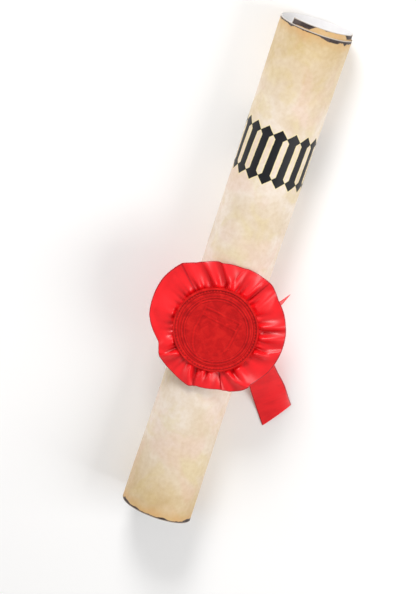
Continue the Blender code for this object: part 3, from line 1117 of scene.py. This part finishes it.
bpy.ops.mesh.primitive_cylinder_add(
    vertices=SEAL_AROUND,
    radius=SEAL_RADIUS,
    depth=SEAL_WALL,
    end_fill_type="NGON",
    location=(rosette.x, rosette.y, seal_low.z + SEAL_WALL / 2),
)
seal = bpy.context.object
seal.name = "pressed_seal"
bpy.ops.object.transform_apply(location=True, rotation=False, scale=False)
bpy.ops.object.mode_set(mode="EDIT")
bpy.ops.mesh.select_mode(type="FACE")
bpy.ops.mesh.select_all(action="DESELECT")
bpy.ops.object.mode_set(mode="OBJECT")
for polygon in seal.data.polygons:
    polygon.select = polygon.normal.z > 0.9
bpy.ops.object.mode_set(mode="EDIT")
ring_step = SEAL_RADIUS / (SEAL_RINGS + 1)
for number in range(SEAL_RINGS):
    bpy.ops.mesh.inset(thickness=ring_step, depth=0)
bpy.ops.mesh.poke()
bpy.ops.object.mode_set(mode="OBJECT")
top_height = seal_low.z + SEAL_WALL
for vertex in seal.data.vertices:
    x, y = vertex.co.x - rosette.x, vertex.co.y - rosette.y
    bulge = 1 + 0.008 * noise.noise((math.atan2(y, x) * 1.3, 0, 5))
    if vertex.co.z > top_height - A_HAIR:
        vertex.co.z = seal_low.z + min(SEAL_THICKNESS, seal_height(x, y))
    vertex.co.x = rosette.x + x * bulge
    vertex.co.y = rosette.y + y * bulge
bevel = seal.modifiers.new("rounded rim", "BEVEL")
bevel.width = 0.35 * MM
bevel.segments = 3
bevel.limit_method = "ANGLE"
bevel.angle_limit = math.radians(50)
bpy.ops.object.modifier_apply(modifier=bevel.name)
bpy.ops.object.shade_smooth()

# Flocked vinyl: a short nap, dull and mottled, with painted shade in the pressed channels.
flocked, tree, shader = new_material("flocked_pressed_vinyl", 0.82)
shader.inputs["Specular IOR Level"].default_value = 0.2
shader.inputs["Sheen Weight"].default_value = 0.06
shader.inputs["Sheen Roughness"].default_value = 0.6
shader.inputs["Sheen Tint"].default_value = linear("#ff6a5a")
place = add_node(tree, "TexCoord", {}).node.outputs["Object"]
mottle = add_node(
    tree,
    "TexNoise",
    {"Vector": place, "Scale": 1 / (4 * MM), "Detail": 5, "Distortion": 0.8},
)
red = add_node(
    tree,
    "ValToRGB",
    {"Fac": mottle},
    stops=[
        (0.30, linear("#b50a0c")),
        (0.50, linear("#cc1112")),
        (0.68, linear("#da1c18")),
    ],
)
# Painted shade: a darker red where the surface curves inwards, in the channels and hollows of the
# pressing.
painted_channel_shade = add_node(
    tree,
    "MapRange",
    {
        "Value": add_node(tree, "NewGeometry", {}).node.outputs["Pointiness"],
        "From Min": 0.46,
        "From Max": 0.51,
        "To Min": 0.8,
        "To Max": 0,
    },
)
red = add_node(tree, "Mix", {0: painted_channel_shade, 6: red, 7: linear("#86070d")}, data_type="RGBA")
specks = add_node(tree, "TexNoise", {"Vector": place, "Scale": 1 / (0.5 * MM), "Detail": 3})
specks = add_node(
    tree, "MapRange", {"Value": specks, "From Min": 0.6, "From Max": 0.75, "To Max": 0.2}
)
red = add_node(tree, "Mix", {0: specks, 6: red, 7: linear("#ee5a4c")}, data_type="RGBA")
tree.links.new(red, shader.inputs["Base Color"])
flock = add_node(
    tree, "TexNoise", {"Vector": place, "Scale": 1 / (0.45 * MM), "Detail": 4}
)
flock = add_node(tree, "Bump", {"Height": flock, "Strength": 0.35, "Distance": 0.0003})
tree.links.new(flock, shader.inputs["Normal"])
seal.data.materials.append(flocked)
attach(seal, "root")
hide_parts("seal_disc")


# ---------------------------------------------------------------- floor, light and camera
# A plain pale table, a large soft key light over the scroll's head, and a camera that looks
# down on the rosette from a little past the head, turned so that the scroll leans.

FLOOR_SIZE = 6.0
bpy.ops.mesh.primitive_plane_add(size=FLOOR_SIZE)
floor = bpy.context.object
floor.name = "table"
white, tree, shader = new_material("pale_table", 0.9)
shader.inputs["Base Color"].default_value = linear("#fbfaf9")
floor.data.materials.append(white)

scene.view_settings.view_transform = "Standard"
world = bpy.data.worlds.new("studio")
world.use_nodes = True
world.node_tree.nodes["Background"].inputs["Color"].default_value = linear("#ffffff")
world.node_tree.nodes["Background"].inputs["Strength"].default_value = 0.45
scene.world = world


def area_light(name, place, aim, size, power):
    """A square soft light aimed at a point."""
    lamp = bpy.data.lights.new(name, "AREA")
    lamp.size = size
    lamp.energy = power
    made = bpy.data.objects.new(name, lamp)
    scene.collection.objects.link(made)
    made.location = place
    made.rotation_euler = (Vector(aim) - Vector(place)).to_track_quat("-Z", "Y").to_euler()


area_light("key", (-0.3, 0.75, 0.65), (0, 0, 0), 0.35, 6.5)
area_light("fill", (0.8, 0, 0.65), (0, 0, 0), 0.6, 5.5)
area_light("rim", (-0.9, -0.1, 0.25), (0, 0.05, 0.02), 0.5, 1.2)

CAMERA_DISTANCE = 2.0
CAMERA_BEYOND = math.radians(13.5)  # how far past the head it looks from
CAMERA_ROLL = math.radians(18.4)
CAMERA_LENS = 227.5
AIM_LEFT = 4.0 * MM  # where it aims, seen from the rosette
AIM_UP = 17.5 * MM
camera = bpy.data.objects.new("camera", bpy.data.cameras.new("camera"))
scene.collection.objects.link(camera)
back = Vector((0, math.sin(CAMERA_BEYOND), math.cos(CAMERA_BEYOND)))
up = Matrix.Rotation(CAMERA_ROLL, 3, back) @ Vector(
    (0, math.cos(CAMERA_BEYOND), -math.sin(CAMERA_BEYOND))
)
right = up.cross(back)
aim = rosette - right * AIM_LEFT + up * AIM_UP
turned = Matrix((right, up, back)).transposed().to_4x4()
camera.matrix_world = Matrix.Translation(aim + back * CAMERA_DISTANCE) @ turned
camera.data.lens = CAMERA_LENS
scene.camera = camera
